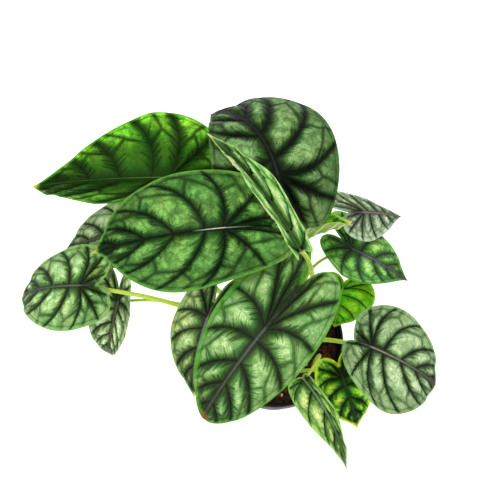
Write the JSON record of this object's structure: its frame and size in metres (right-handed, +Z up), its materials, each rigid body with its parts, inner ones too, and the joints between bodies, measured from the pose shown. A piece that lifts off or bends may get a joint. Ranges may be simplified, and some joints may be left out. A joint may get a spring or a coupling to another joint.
{
  "type": "potted dragon scale alocasia",
  "caption": "Potted alocasia with quilted, dark-veined, heart-shaped leaves on arching petioles, in a plain round nursery pot with drain holes.",
  "frame": {"origin": "middle of the pot's flat base, on the surface it stands on", "axes": "+Z up out of the pot; +X to the right and -Y towards a viewer who faces the plant's front"},
  "size_m": [0.3567, 0.3008, 0.3319],
  "materials": {
    "pot_plastic": "matte",
    "soil": "matte",
    "leaf_dark": "satin",
    "leaf_silver": "satin",
    "leaf_young": "satin",
    "petiole": "satin"
  },
  "bodies": {
    "root": {"pot": "pot_plastic", "soil": "soil", "blade_back_left": "leaf_dark", "petiole_back_left": "petiole", "blade_back_round": "leaf_dark", "petiole_back_round": "petiole", "blade_centre_left": "leaf_dark", "petiole_centre_left": "petiole", "blade_folded_top": "leaf_dark", "petiole_folded_top": "petiole", "blade_front_large": "leaf_silver", "petiole_front_large": "petiole", "blade_right_round": "leaf_silver", "petiole_right_round": "petiole", "blade_right_glossy": "leaf_dark", "petiole_right_glossy": "petiole", "blade_right_dull": "leaf_dark", "petiole_right_dull": "petiole", "blade_young_back": "leaf_young", "petiole_young_back": "petiole", "blade_young_right": "leaf_young", "petiole_young_right": "petiole", "blade_front_small": "leaf_young", "petiole_front_small": "petiole", "blade_front_narrow": "leaf_silver", "petiole_front_narrow": "petiole", "blade_far_left": "leaf_silver", "petiole_far_left": "petiole", "blade_left_shaded": "leaf_dark", "petiole_left_shaded": "petiole", "blade_left_hanging": "leaf_silver", "petiole_left_hanging": "petiole", "blade_front_left": "leaf_silver", "petiole_front_left": "petiole"}
  },
  "joints": []
}
